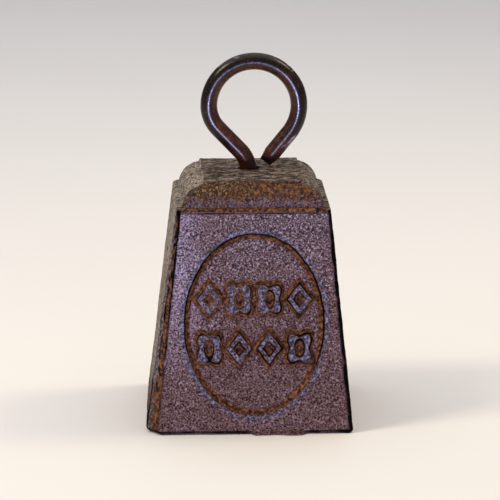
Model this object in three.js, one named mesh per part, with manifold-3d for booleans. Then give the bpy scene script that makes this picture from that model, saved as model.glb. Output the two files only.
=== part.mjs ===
// A cast-iron door stop: a tapered hollow casting with an eye bolt for a handle.
// Millimetres, +Z up. The foot stands on z = 0, the decorated front faces -Y, and the
// origin is the centre of the foot.

import * as THREE from "three";
import { mergeVertices } from "three/addons/utils/BufferGeometryUtils.js";
import Module from "manifold-3d";

const wasm = await Module();
wasm.setup();

// ---------------------------------------------------------------- driving dimensions

const GAP = 0.3; // clearance kept between pieces that touch
const CUT_PAST = 3; // how far a cutting shape reaches past the surface it opens
const SINK = 0.5; // how far one shape is sunk into another before they are joined
const ROUND_SEGMENTS = 32; // sides of a small round hole or disc

// The casting.
const LEDGE_Z = 108.7; // height of the flat shoulder ledge
const TOP_Z = 120.7; // height of the flat top
const WALL = 7; // thickness of the side walls
const CROWN = 9.5; // thickness of the metal under the flat top
const FOOT = { depth: 87, frontWidth: 93.2, backWidth: 99 };
const SHOULDER = { depth: 66.6, frontWidth: 70.6, backWidth: 73.8 };
const FLAT_TOP = { width: 48, depth: 53, cut: 0.8 }; // cut: its corners' small bevels
const SHIFT = 1; // the casting's middle line, right of the origin because of the bevel
const EDGE_ROUND = 1.2; // radius of the crisp front right edge
const BACK_ROUND = 4; // radius of the two back edges
const FOOT_BEVEL = { across: 5.8, back: 6.4 }; // the front left edge's bevel at the foot
const SHOULDER_BEVEL = { across: 1.65, back: 2.5 }; // and at the shoulder
const FOOT_ROUND = { left: 3.4, right: 2.4, end: 1.2 }; // rounding where the walls meet the foot
const FOOT_HEIGHTS = [0, 0.05, 0.16, 0.35, 0.6, 1]; // its levels, shares of the largest rounding
const CEILING_BEVEL = { start: 3, end: 6, drop: 2 }; // the hollow narrows towards its ceiling

// The crown moulding between the ledge and the flat top.
const LEDGE_FLAT = { side: 3, end: 2 }; // flat strip left outside the moulding
const FILLET = 1.4; // height of the small vertical step under the flat top
const FILLET_INSET = 0.4; // how far the step leans in
const OVOLO_TURN = 76; // how far the convex moulding curves over, degrees
const OVOLO_STEPS = 7;

// The sunk oval panel on the front, measured along the sloping face.
const PANEL = { halfWidth: 33.4, halfHeight: 44, centreZ: 53.2, depth: 1.4 };
const RIM_GROOVE = { width: 2.2, depth: 0.9 }; // moat just inside the panel's edge

// Two rows of raised ornament in the panel.
const ORNAMENT = { width: 13, height: 16.4, stroke: 4.3, relief: 1.9, pitch: 14.4 };
const LOZENGE_STROKE = 1.45 * ORNAMENT.stroke; // the lozenges are drawn heavier
const CLOVER = { size: 1.12, waist: 0.84, lobe: 0.16, points: 40 }; // shares of the ornament
const ROWS = [
  { up: 12.2, pattern: ["lozenge", "clover", "clover", "lozenge"] },
  { up: -11.6, pattern: ["clover", "lozenge", "lozenge", "clover"] },
];

// The ring handle.
const ROD = 8.2; // diameter of the coated bar
const EYE = { x: 2.6, z: 151.3, radius: 21.8 }; // centre and centre-line radius of the eye
const EYE_TIGHT = 16; // the eye closes in to this radius on the shank's side
const SHANK = { x: 0.3, y: 4 }; // the vertical leg
const SHANK_BEND = 16; // centre-line radius where the leg turns down
const LEFT_SLOPE = 46; // slope of the leg that becomes the shank, degrees
const RIGHT_SLOPE = 51; // slope of the free leg
const WEDGE_SLOPE = 1.25; // the free end is cropped to a wedge; how steeply its two facets rise
const RIDGE_SHARE = 0.7; // and how much of the bar's width is left along the wedge's ridge
const TIP_CLEARANCE = 0.8; // the wedge's lowest point stops this far above the flat top

// What holds it inside.
const HOLE = 9.4; // hole through the crown
const WASHER = { outer: 17, inner: 8.9, thick: 1.6 };
const NUT = { acrossFlats: 13, bore: 8.8, height: 6.8 };
const TAIL = 3.2; // shank showing below the nut

// ---------------------------------------------------------------- solids and meshes

function toSolid(geometry) {
  const bare = geometry.clone();
  bare.deleteAttribute("normal");
  bare.deleteAttribute("uv");
  const merged = mergeVertices(bare, 1e-4);
  return new wasm.Manifold(new wasm.Mesh({
    numProp: 3,
    vertProperties: new Float32Array(merged.attributes.position.array),
    triVerts: new Uint32Array(merged.index.array),
  }));
}

function toGeometry(solid) {
  const mesh = solid.getMesh();
  const geometry = new THREE.BufferGeometry();
  geometry.setAttribute("position", new THREE.BufferAttribute(mesh.vertProperties, 3));
  geometry.setIndex(new THREE.BufferAttribute(mesh.triVerts, 1));
  geometry.computeVertexNormals();
  return geometry;
}

function piece(name, geometry, material) {
  const mesh = new THREE.Mesh(geometry, material);
  mesh.name = name;
  return mesh;
}

// A closed skin over a stack of outlines that all have the same number of points. Each end
// is closed by triangles that share the outline's first point.
function loft(outlines) {
  const count = outlines[0].length;
  const points = outlines.flat();
  const faces = [];
  for (let level = 0; level < outlines.length - 1; level += 1) {
    for (let k = 0; k < count; k += 1) {
      const a = level * count + k;
      const b = level * count + ((k + 1) % count);
      faces.push(a, b, b + count, a, b + count, a + count);
    }
  }
  const last = (outlines.length - 1) * count;
  for (let k = 1; k < count - 1; k += 1) {
    faces.push(0, k + 1, k);
    faces.push(last, last + k, last + k + 1);
  }
  const geometry = new THREE.BufferGeometry();
  geometry.setAttribute("position", new THREE.Float32BufferAttribute(
    points.flatMap((p) => [p.x, p.y, p.z]), 3));
  geometry.setIndex(faces);
  return geometry;
}

// ---------------------------------------------------------------- the casting's plan

const mix = THREE.MathUtils.lerp;

// The four sides of the plan at height z. The bevel cuts the front left corner from `left`,
// `front` outwards to the left wall.
function planAt(z) {
  const t = z / LEDGE_Z;
  const halfDepth = mix(FOOT.depth, SHOULDER.depth, t) / 2;
  const halfFront = mix(FOOT.frontWidth, SHOULDER.frontWidth, t) / 2;
  const halfBack = mix(FOOT.backWidth, SHOULDER.backWidth, t) / 2;
  return {
    left: SHIFT - halfFront,
    right: SHIFT + halfFront + EDGE_ROUND,
    backLeft: SHIFT - halfBack,
    backRight: SHIFT + halfBack,
    front: -halfDepth,
    back: halfDepth,
    bevelAcross: mix(FOOT_BEVEL.across, SHOULDER_BEVEL.across, t),
    bevelBack: mix(FOOT_BEVEL.back, SHOULDER_BEVEL.back, t),
    frontRound: EDGE_ROUND,
    backRound: BACK_ROUND,
  };
}

function flatTopPlan() {
  const halfWidth = FLAT_TOP.width / 2;
  return {
    left: SHIFT - halfWidth + FLAT_TOP.cut,
    right: SHIFT + halfWidth,
    backLeft: SHIFT - halfWidth,
    backRight: SHIFT + halfWidth,
    front: -FLAT_TOP.depth / 2,
    back: FLAT_TOP.depth / 2,
    bevelAcross: FLAT_TOP.cut,
    bevelBack: FLAT_TOP.cut,
    frontRound: EDGE_ROUND,
    backRound: FLAT_TOP.cut,
  };
}

function inset(plan, left, right = left, end = left) {
  return {
    ...plan,
    left: plan.left + left,
    right: plan.right - right,
    backLeft: plan.backLeft + left,
    backRight: plan.backRight - right,
    front: plan.front + end,
    back: plan.back - end,
  };
}

function blend(from, to, t) {
  return Object.fromEntries(Object.keys(from).map((key) => [key, mix(from[key], to[key], t)]));
}

// A quarter circle that turns the corner (x, y) from startAngle on.
function roundedCorner(x, y, radius, startAngle, steps) {
  const centreX = x - Math.sign(x) * radius;
  const centreY = y - Math.sign(y) * radius;
  const arc = [];
  for (let k = 0; k <= steps; k += 1) {
    const angle = startAngle + (k / steps) * Math.PI / 2;
    arc.push([centreX + radius * Math.cos(angle), centreY + radius * Math.sin(angle)]);
  }
  return arc;
}

function outline(plan, z) {
  const points = [
    [plan.left - plan.bevelAcross, plan.front + plan.bevelBack],
    [plan.left, plan.front],
    ...roundedCorner(plan.right, plan.front, plan.frontRound, -Math.PI / 2, 2),
    ...roundedCorner(plan.backRight, plan.back, plan.backRound, 0, 4),
    ...roundedCorner(plan.backLeft, plan.back, plan.backRound, Math.PI / 2, 4),
  ];
  return points.map(([x, y]) => new THREE.Vector3(x, y, z));
}

// ---------------------------------------------------------------- the casting

// How far a rounding of the given radius has drawn the wall in at height z above the foot.
function footInset(z, radius) {
  const below = Math.max(radius - z, 0);
  return radius - Math.sqrt(radius * radius - below * below);
}

// Height and inward travel of the convex moulding, both from 0 at its foot to 1 at its head.
function ovolo(t) {
  const turn = THREE.MathUtils.degToRad(OVOLO_TURN);
  return {
    rise: Math.sin(t * turn) / Math.sin(turn),
    travel: (1 - Math.cos(t * turn)) / (1 - Math.cos(turn)),
  };
}

function outerSkin() {
  const outlines = [];
  for (const share of FOOT_HEIGHTS) {
    const z = share * FOOT_ROUND.left;
    outlines.push(outline(inset(planAt(z), footInset(z, FOOT_ROUND.left),
      footInset(z, FOOT_ROUND.right), footInset(z, FOOT_ROUND.end)), z));
  }
  const shoulder = planAt(LEDGE_Z);
  outlines.push(outline(shoulder, LEDGE_Z));
  const mouldingFoot = inset(shoulder, LEDGE_FLAT.side, LEDGE_FLAT.side, LEDGE_FLAT.end);
  const mouldingHead = inset(flatTopPlan(), -FILLET_INSET);
  for (let k = 0; k <= OVOLO_STEPS; k += 1) {
    const { rise, travel } = ovolo(k / OVOLO_STEPS);
    const z = mix(LEDGE_Z, TOP_Z - FILLET, rise);
    outlines.push(outline(blend(mouldingFoot, mouldingHead, travel), z));
  }
  outlines.push(outline(flatTopPlan(), TOP_Z));
  return toSolid(loft(outlines));
}

function cavity() {
  const ceiling = TOP_Z - CROWN;
  const shoulder = LEDGE_Z - WALL;
  return toSolid(loft([
    outline(inset(planAt(0), WALL), -CUT_PAST),
    outline(inset(planAt(0), WALL), 0),
    outline(inset(planAt(shoulder), WALL), shoulder),
    outline(inset(planAt(LEDGE_Z), WALL + CEILING_BEVEL.start), ceiling - CEILING_BEVEL.drop),
    outline(inset(planAt(LEDGE_Z), WALL + CEILING_BEVEL.end), ceiling),
  ]));
}

// Places a drawing made in the plane of the front face: x to the right, y up the slope and
// z out of the face, with its centre at the panel's centre.
function frontFaceFrame() {
  const slope = Math.atan2((FOOT.depth - SHOULDER.depth) / 2, LEDGE_Z);
  const panel = planAt(PANEL.centreZ);
  return new THREE.Matrix4()
    .makeTranslation(SHIFT, panel.front, PANEL.centreZ)
    .multiply(new THREE.Matrix4().makeRotationX(Math.PI / 2 - slope));
}

function ellipseShape(halfWidth, halfHeight) {
  return new THREE.Shape().absellipse(0, 0, halfWidth, halfHeight, 0, Math.PI * 2);
}

// A prism of a face drawing, from one depth to another, positive out of the face.
function onFace(shape, from, to, segments) {
  const geometry = new THREE.ExtrudeGeometry(shape, {
    depth: to - from, bevelEnabled: false, curveSegments: segments,
  });
  geometry.translate(0, 0, from);
  geometry.applyMatrix4(frontFaceFrame());
  return toSolid(geometry);
}

const OVAL_SEGMENTS = 32; // of the panel, per half turn
const EYE_SEGMENTS = 8; // of a clover's eye, per half turn

function sunkPanel() {
  const field = ellipseShape(PANEL.halfWidth, PANEL.halfHeight);
  const moat = ellipseShape(PANEL.halfWidth, PANEL.halfHeight);
  moat.holes.push(new THREE.Path().absellipse(0, 0, PANEL.halfWidth - RIM_GROOVE.width,
    PANEL.halfHeight - RIM_GROOVE.width, 0, Math.PI * 2));
  const floor = -PANEL.depth;
  return onFace(field, floor, CUT_PAST, OVAL_SEGMENTS)
    .add(onFace(moat, floor - RIM_GROOVE.depth, floor + SINK, OVAL_SEGMENTS));
}

// A diamond frame.
function lozengeShape(x, y) {
  const diamond = (Path, halfWidth, halfHeight) => new Path().setFromPoints([
    new THREE.Vector2(x + halfWidth, y),
    new THREE.Vector2(x, y + halfHeight),
    new THREE.Vector2(x - halfWidth, y),
    new THREE.Vector2(x, y - halfHeight),
    new THREE.Vector2(x + halfWidth, y),
  ]);
  const halfWidth = ORNAMENT.width / 2;
  const halfHeight = ORNAMENT.height / 2;
  const inward = LOZENGE_STROKE / 2 * Math.hypot(1 / halfWidth, 1 / halfHeight);
  const shape = diamond(THREE.Shape, halfWidth, halfHeight);
  shape.holes.push(diamond(THREE.Path, halfWidth * (1 - inward), halfHeight * (1 - inward)));
  return shape;
}

// A four-lobed clover drawn as one curve, with a round eye.
function cloverShape(x, y) {
  const halfWidth = ORNAMENT.width / 2;
  const halfHeight = ORNAMENT.height / 2;
  const points = [];
  for (let k = 0; k <= CLOVER.points; k += 1) {
    const angle = (k / CLOVER.points) * Math.PI * 2;
    const reach = CLOVER.size * (CLOVER.waist - CLOVER.lobe * Math.cos(4 * angle));
    points.push(new THREE.Vector2(
      x + reach * halfWidth * Math.cos(angle), y + reach * halfHeight * Math.sin(angle)));
  }
  const shape = new THREE.Shape(points);
  shape.holes.push(new THREE.Path().absellipse(
    x, y, halfWidth - ORNAMENT.stroke, halfHeight - ORNAMENT.stroke, 0, Math.PI * 2));
  return shape;
}

function ornaments() {
  const root = -PANEL.depth - SINK;
  const face = ORNAMENT.relief - PANEL.depth;
  let all = null;
  for (const row of ROWS) {
    row.pattern.forEach((kind, index) => {
      const x = (index - (row.pattern.length - 1) / 2) * ORNAMENT.pitch;
      const shape = kind === "lozenge" ? lozengeShape(x, row.up) : cloverShape(x, row.up);
      const solid = onFace(shape, root, face, EYE_SEGMENTS);
      all = all ? all.add(solid) : solid;
    });
  }
  return all;
}

function uprightCylinder(x, y, diameter, bottom, top, segments) {
  const geometry = new THREE.CylinderGeometry(diameter / 2, diameter / 2, top - bottom, segments);
  geometry.rotateX(Math.PI / 2);
  geometry.translate(x, y, (top + bottom) / 2);
  return geometry;
}

function bodyCasting() {
  const hole = toSolid(uprightCylinder(
    SHANK.x, SHANK.y, HOLE, TOP_Z - CROWN - CUT_PAST, TOP_Z + CUT_PAST, ROUND_SEGMENTS));
  return toGeometry(outerSkin().subtract(sunkPanel()).add(ornaments()).subtract(cavity())
    .subtract(hole));
}

// ---------------------------------------------------------------- the ring handle

// An arc in the XZ plane, its angles measured from +X towards +Z.
class UprightArc extends THREE.Curve {
  constructor(centreX, centreZ, radius, startAngle, endAngle) {
    super();
    Object.assign(this, { centreX, centreZ, radius, startAngle, endAngle });
  }

  getPoint(t, target = new THREE.Vector3()) {
    const angle = mix(this.startAngle, this.endAngle, t);
    return target.set(
      this.centreX + this.radius * Math.cos(angle), SHANK.y,
      this.centreZ + this.radius * Math.sin(angle));
  }
}

const LEFT = THREE.MathUtils.degToRad(LEFT_SLOPE);
const RIGHT = THREE.MathUtils.degToRad(RIGHT_SLOPE);
const ROUND = new UprightArc(EYE.x, EYE.z, EYE.radius, RIGHT - Math.PI / 2, Math.PI);
const TIGHT = new UprightArc(
  EYE.x - EYE.radius + EYE_TIGHT, EYE.z, EYE_TIGHT, Math.PI, Math.PI * 1.5 - LEFT);

// The middle of the wedge's ridge, which crosses the end of the free leg.
function wedgeMiddle() {
  const leave = ROUND.getPoint(0);
  const z = TOP_Z + TIP_CLEARANCE + RIDGE_SHARE * ROD / 2 * Math.cos(RIGHT);
  return new THREE.Vector3(leave.x - (leave.z - z) / Math.tan(RIGHT), SHANK.y, z);
}

// The bar's centre line, from the free end over the eye and down the shank.
function handleLine(freeEnd, shankEnd) {
  const join = TIGHT.getPoint(1);
  const bendCentreX = SHANK.x - SHANK_BEND;
  const bendTopX = bendCentreX + SHANK_BEND * Math.sin(LEFT);
  const bendTopZ = join.z - (bendTopX - join.x) * Math.tan(LEFT);
  const bendCentreZ = bendTopZ - SHANK_BEND * Math.cos(LEFT);
  const bend = new UprightArc(bendCentreX, bendCentreZ, SHANK_BEND, Math.PI / 2 - LEFT, 0);

  const line = new THREE.CurvePath();
  line.add(new THREE.LineCurve3(freeEnd, ROUND.getPoint(0)));
  line.add(ROUND);
  line.add(TIGHT);
  line.add(new THREE.LineCurve3(join, bend.getPoint(0)));
  line.add(bend);
  line.add(new THREE.LineCurve3(bend.getPoint(1), new THREE.Vector3(SHANK.x, SHANK.y, shankEnd)));
  return line;
}

const ROD_STEPS = 84;
const ROD_SIDES = 16;

// The round bar, as outlines square to its centre line. The free end's outline is drawn back
// on both sides of its middle into a wedge.
function ringHandle(shankEnd) {
  const line = handleLine(wedgeMiddle(), shankEnd);
  const wedgeLength = WEDGE_SLOPE * ROD / 2;
  const outlines = [];
  for (let step = 0; step <= ROD_STEPS; step += 1) {
    const share = step / ROD_STEPS;
    const atFreeEnd = step === 0;
    if (!atFreeEnd && share * line.getLength() < wedgeLength + GAP) continue;
    const along = line.getTangentAt(share);
    const across = new THREE.Vector3(along.z, 0, -along.x);
    const halfWidth = (atFreeEnd ? RIDGE_SHARE : 1) * ROD / 2;
    const ring = [];
    for (let k = 0; k < ROD_SIDES; k += 1) {
      const angle = (k / ROD_SIDES) * Math.PI * 2;
      const sideways = ROD / 2 * Math.sin(angle);
      const point = line.getPointAt(share).addScaledVector(across, halfWidth * Math.cos(angle));
      point.y += sideways;
      if (atFreeEnd) point.addScaledVector(along, WEDGE_SLOPE * Math.abs(sideways));
      ring.push(point);
    }
    outlines.push(ring);
  }
  return toGeometry(toSolid(loft(outlines)));
}

// ---------------------------------------------------------------- the fasteners inside

function flatWasher(top) {
  const { outer, inner, thick } = WASHER;
  const profile = [
    new THREE.Vector2(inner / 2, -thick), new THREE.Vector2(outer / 2, -thick),
    new THREE.Vector2(outer / 2, 0), new THREE.Vector2(inner / 2, 0),
    new THREE.Vector2(inner / 2, -thick),
  ];
  const geometry = new THREE.LatheGeometry(profile, ROUND_SEGMENTS);
  geometry.rotateX(Math.PI / 2);
  geometry.translate(SHANK.x, SHANK.y, top);
  return toGeometry(toSolid(geometry));
}

function hexNut(top) {
  const corner = NUT.acrossFlats / Math.sqrt(3);
  const outline = [];
  for (let k = 0; k < 6; k += 1) {
    const angle = k * Math.PI / 3;
    outline.push(new THREE.Vector2(corner * Math.cos(angle), corner * Math.sin(angle)));
  }
  const shape = new THREE.Shape(outline);
  shape.holes.push(new THREE.Path().absarc(0, 0, NUT.bore / 2, 0, Math.PI * 2));
  const geometry = new THREE.ExtrudeGeometry(shape, {
    depth: NUT.height, bevelEnabled: false, curveSegments: ROUND_SEGMENTS / 2,
  });
  geometry.translate(SHANK.x, SHANK.y, top - NUT.height);
  return toGeometry(toSolid(geometry));
}

// ---------------------------------------------------------------- materials and assembly

const metal = (color, roughness, metalness) =>
  new THREE.MeshStandardMaterial({ color, roughness, metalness });

const castIron = metal(0x4a3a3c, 0.75, 0.35);
const browned = metal(0x2a1a14, 0.3, 0.6);
const zincPlate = metal(0x8f8d88, 0.4, 0.9);
const zincNut = metal(0x9a978f, 0.38, 0.9);

const washerTop = TOP_Z - CROWN - GAP;
const nutTop = washerTop - WASHER.thick - GAP;
const shankEnd = nutTop - NUT.height - TAIL;

const doorStop = new THREE.Group();
doorStop.add(piece("body_casting", bodyCasting(), castIron));
doorStop.add(piece("ring_handle", ringHandle(shankEnd), browned));
doorStop.add(piece("flat_washer", flatWasher(washerTop), zincPlate));
doorStop.add(piece("hex_nut", hexNut(nutTop), zincNut));

export default doorStop;
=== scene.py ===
# Looks of a cast-iron door stop: a sand-cast body with a sunk oval panel, and an eye bolt with
# its washer and nut. Lengths are in millimetres until a mesh is made, when they become metres.

import math
from itertools import product

import bpy
import numpy as np
from mathutils import Matrix, Vector


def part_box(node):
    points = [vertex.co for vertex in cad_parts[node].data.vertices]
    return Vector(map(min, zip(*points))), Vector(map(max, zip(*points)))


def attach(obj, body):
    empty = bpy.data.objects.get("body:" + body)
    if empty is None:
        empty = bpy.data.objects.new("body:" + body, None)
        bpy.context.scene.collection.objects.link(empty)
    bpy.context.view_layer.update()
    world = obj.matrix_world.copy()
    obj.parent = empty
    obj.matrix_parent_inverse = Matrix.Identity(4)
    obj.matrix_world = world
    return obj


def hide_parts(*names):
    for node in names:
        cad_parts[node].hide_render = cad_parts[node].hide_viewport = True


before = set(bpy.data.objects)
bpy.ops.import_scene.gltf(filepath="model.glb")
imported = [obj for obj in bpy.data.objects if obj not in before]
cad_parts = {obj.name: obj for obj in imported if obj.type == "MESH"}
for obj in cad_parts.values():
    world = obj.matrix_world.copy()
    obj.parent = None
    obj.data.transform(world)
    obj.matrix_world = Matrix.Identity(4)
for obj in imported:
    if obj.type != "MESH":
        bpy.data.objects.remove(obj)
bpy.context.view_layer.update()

MM = 0.001


def box_mm(node):
    low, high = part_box(node)
    return np.array(low) / MM, np.array(high) / MM


casting_high = box_mm("body_casting")[1]
ring_low, ring_high = box_mm("ring_handle")
washer_low, washer_high = box_mm("flat_washer")
nut_low, nut_high = box_mm("hex_nut")

# ---------------------------------------------------------------- sizes of the casting

TOP_Z = casting_high[2]
LEDGE_Z = TOP_Z - 12
WALL = 7
CEILING_Z = TOP_Z - 9.5
FOOT = {"depth": 87, "front_width": 93.2, "back_width": 99}
SHOULDER = {"depth": 66.6, "front_width": 70.6, "back_width": 73.8}
FLAT_TOP = {"width": 48, "depth": 53, "cut": 0.8}
SHIFT = 1  # the casting's middle line, right of the frame's
EDGE_ROUND = 1.2
BACK_ROUND = 4
FOOT_BEVEL = {"across": 5.8, "back": 6.4}
SHOULDER_BEVEL = {"across": 1.65, "back": 2.5}
FOOT_ROUND = {"left": 3.4, "right": 2.4, "end": 1.2}
LEDGE_FLAT = {"side": 3, "end": 2}
LEDGE_EDGE = 1.0  # rounding where the ledge meets the walls
FLAT_TOP_EDGE = 0.5  # rounding of the flat top's edge
FILLET = 1.4
FILLET_INSET = 0.4
OVOLO_TURN = math.radians(76)
CEILING_BEVEL = {"start": 3, "end": 6, "drop": 2}  # between the hollow's walls and its ceiling
# The flash runs from start to end, and is full up to its top and gone a fade above that.
FLASH = {"start": -1, "end": 27, "top": 0.3, "fade": 2, "reach": 2.3, "lumps": 0.8}
SKIN_RISE = 0.2  # how far the uneven skin may rise over the flat top
PANEL = {"half_width": 33.4, "half_height": 44, "centre_z": 53.2, "depth": 1.4, "wall": 2.1}
FACE_SLOPE = math.atan2((FOOT["depth"] - SHOULDER["depth"]) / 2, LEDGE_Z)

ORNAMENT = {"width": 13, "height": 16.4, "stroke": 4.3, "relief": 1.7, "pitch": 14.4}
ORNAMENT_WALL = 1.5  # width of the sloping flank round each ornament
LOZENGE_HALF_STROKE = 0.36  # half the width of a lozenge's frame, as a share of the stroke
CLOVER = {"size": 1.12, "middle": 0.84, "lobes": 0.16, "eye_slope": 2.6}
ROWS = [
    (12.2, ["lozenge", "clover", "clover", "lozenge"]),
    (-11.6, ["clover", "lozenge", "lozenge", "clover"]),
]

# ---------------------------------------------------------------- sizes of the eye bolt

ROD = ring_high[1] - ring_low[1]
EYE_X = (ring_low[0] + ring_high[0]) / 2
EYE_RADIUS = (ring_high[0] - ring_low[0] - ROD) / 2
EYE_Z = ring_high[2] - ROD / 2 - EYE_RADIUS
EYE_TIGHT = 16
SHANK_X = (washer_low[0] + washer_high[0]) / 2
SHANK_Y = (ring_low[1] + ring_high[1]) / 2
SHANK_BEND = 16
LEFT_SLOPE = math.radians(46)
RIGHT_SLOPE = math.radians(51)
WEDGE_SLOPE = 1.25  # the free end is cropped to a wedge; how steeply its two facets rise
RIDGE_SHARE = 0.7  # and how much of the bar's width is left along the wedge's ridge
WEDGE_FACE_ROWS = 7
TIP_CLEARANCE = 0.8
THREAD = {"pitch": 1.25, "depth": 0.7, "length": 17}
HOLE = 9.4
SHANK = np.array([SHANK_X, SHANK_Y])
BAR_SIDES = 48
BAR_STEP = 0.9  # between the rows of the bar's bends

# ---------------------------------------------------------------- sizes of the washer and nut

WASHER = {"bore": 8.9, "edge": 0.3, "sides": 96}
NUT = {"bore": 8.8, "chamfer": 1.1, "corner_cut": 0.12, "thread": 0.5, "sides": 120}

# ---------------------------------------------------------------- noise and small helpers


def smooth(t):
    t = np.clip(t, 0, 1)
    return t * t * (3 - 2 * t)


def mix(a, b, t):
    return a + (b - a) * t


def hump(away, width):
    """1 where `away` is 0, falling smoothly to nothing a few widths from there."""
    return np.exp(-(away / width) ** 2)


def grain(points, size, seed):
    """Smooth lattice noise from -1 to 1 whose bumps are about `size` across."""
    scaled = np.asarray(points, float) / size + 1000
    cell = np.floor(scaled).astype(np.int64)
    part = smooth(scaled - cell)
    total = np.zeros(scaled.shape[:-1])
    for corner in product((0, 1), repeat=3):
        weight = np.prod(np.where(np.array(corner) == 1, part, 1 - part), axis=-1)
        key = (cell + corner) @ np.array([73856093, 19349663, 83492791]) + seed * 2654435761
        key = (key ^ (key >> 13)) * 1274126177 & 0xFFFFFFFF
        key = (key ^ (key >> 16)) * 2246822519 & 0xFFFFFFFF
        total += weight * ((key >> 8) / float(1 << 23) - 1)
    return total


def layered(points, size, seed, layers=3):
    """Noise with finer and finer layers on top."""
    return sum(grain(points, size / 2**k, seed + k) / 1.8**k for k in range(layers)) / 1.7


def round_angles(sides):
    return np.arange(sides) / sides * 2 * math.pi


def mesh_object(name, points, faces):
    mesh = bpy.data.meshes.new(name)
    mesh.from_pydata((np.asarray(points) * MM).tolist(), [], faces)
    mesh.update()
    mesh.polygons.foreach_set("use_smooth", np.ones(len(mesh.polygons), bool))
    obj = bpy.data.objects.new(name, mesh)
    bpy.context.scene.collection.objects.link(obj)
    return obj


def ring_faces(rows, columns, closed):
    """Quads of a grid whose columns wrap round, and whose rows do too when it is closed."""
    faces = []
    for row in range(rows if closed else rows - 1):
        here, there = row * columns, (row + 1) % rows * columns
        for column in range(columns):
            after = (column + 1) % columns
            faces.append((here + column, there + column, there + after, here + after))
    return faces


def set_mask(obj, name, values):
    attribute = obj.data.attributes.new(name, "FLOAT", "POINT")
    attribute.data.foreach_set("value", np.clip(values, 0, 1).astype(np.float32).ravel())


def grid_normals(points):
    """Normals of a grid of points that wraps both ways, facing out of ring_faces' quads."""
    down = np.roll(points, -1, 0) - np.roll(points, 1, 0)
    along = np.roll(points, -1, 1) - np.roll(points, 1, 1)
    normal = np.cross(down, along)
    return normal / np.maximum(np.linalg.norm(normal, axis=-1, keepdims=True), 1e-9)


# ---------------------------------------------------------------- plan of the casting


def plan_at(z):
    t = z / LEDGE_Z
    half_front = mix(FOOT["front_width"], SHOULDER["front_width"], t) / 2
    half_back = mix(FOOT["back_width"], SHOULDER["back_width"], t) / 2
    half_depth = mix(FOOT["depth"], SHOULDER["depth"], t) / 2
    return {
        "left": SHIFT - half_front,
        "right": SHIFT + half_front + EDGE_ROUND,
        "back_left": SHIFT - half_back,
        "back_right": SHIFT + half_back,
        "front": -half_depth,
        "back": half_depth,
        "across": mix(FOOT_BEVEL["across"], SHOULDER_BEVEL["across"], t),
        "bevel_back": mix(FOOT_BEVEL["back"], SHOULDER_BEVEL["back"], t),
        "front_round": EDGE_ROUND,
        "back_round": BACK_ROUND,
    }


def flat_top_plan():
    half_width, cut = FLAT_TOP["width"] / 2, FLAT_TOP["cut"]
    return {
        "left": SHIFT - half_width + cut,
        "right": SHIFT + half_width,
        "back_left": SHIFT - half_width,
        "back_right": SHIFT + half_width,
        "front": -FLAT_TOP["depth"] / 2,
        "back": FLAT_TOP["depth"] / 2,
        "across": cut,
        "bevel_back": cut,
        "front_round": EDGE_ROUND,
        "back_round": cut,
    }


def inset(plan, left, right=None, end=None):
    right = left if right is None else right
    end = left if end is None else end
    moved = dict(plan)
    moved["left"] += left
    moved["back_left"] += left
    moved["right"] -= right
    moved["back_right"] -= right
    moved["front"] += end
    moved["back"] -= end
    return moved


def blend(a, b, t):
    return {key: mix(a[key], b[key], t) for key in a}


# Rows of the casting's grid on its larger parts, and its columns, side by side round its plan.
GRID_ROWS = {"flat_top": 16, "ovolo": 19, "wall": 190, "inside": 12}
COLUMNS = {"bevel": 12, "front": 196, "front_round": 5, "right": 34,
           "corner_a": 6, "back": 44, "corner_b": 6, "left": 34}
STARTS = dict(zip(COLUMNS, np.cumsum([0, *COLUMNS.values()])))


def columns_of(side):
    return slice(STARTS[side], STARTS[side] + COLUMNS[side])


def straight(start, end, count):
    t = np.arange(count)[:, None] / count
    return mix(np.array(start, float), np.array(end, float), t)


def corner(x, y, radius, start_angle, count):
    centre = np.array([x - math.copysign(radius, x), y - math.copysign(radius, y)])
    angle = start_angle + np.arange(count) / count * math.pi / 2
    return centre + radius * np.stack([np.cos(angle), np.sin(angle)], -1)


def outline(plan):
    p = plan
    bevel_end = (p["left"] - p["across"], p["front"] + p["bevel_back"])
    r, back_r = p["front_round"], p["back_round"]
    return np.concatenate([
        straight(bevel_end, (p["left"], p["front"]), COLUMNS["bevel"]),
        straight((p["left"], p["front"]), (p["right"] - r, p["front"]), COLUMNS["front"]),
        corner(p["right"], p["front"], r, -math.pi / 2, COLUMNS["front_round"]),
        straight((p["right"], p["front"] + r), (p["back_right"], p["back"] - back_r),
                 COLUMNS["right"]),
        corner(p["back_right"], p["back"], back_r, 0, COLUMNS["corner_a"]),
        straight((p["back_right"] - back_r, p["back"]), (p["back_left"] + back_r, p["back"]),
                 COLUMNS["back"]),
        corner(p["back_left"], p["back"], back_r, math.pi / 2, COLUMNS["corner_b"]),
        straight((p["back_left"], p["back"] - back_r), bevel_end, COLUMNS["left"]),
    ])


def at_height(flat, z):
    return np.column_stack([flat, np.full(len(flat), z)])


def foot_inset(z, radius):
    below = max(radius - z, 0)
    return radius - math.sqrt(radius * radius - below * below)


# ---------------------------------------------------------------- rows of the casting


def round_the_hole(edge, z, share):
    """The hole's edge at share 0, the given outline at share 1, and rings between them."""
    out = edge - SHANK
    reach = np.linalg.norm(out, axis=1, keepdims=True)
    return at_height(SHANK + out / reach * mix(HOLE / 2, reach, share), z)


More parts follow.
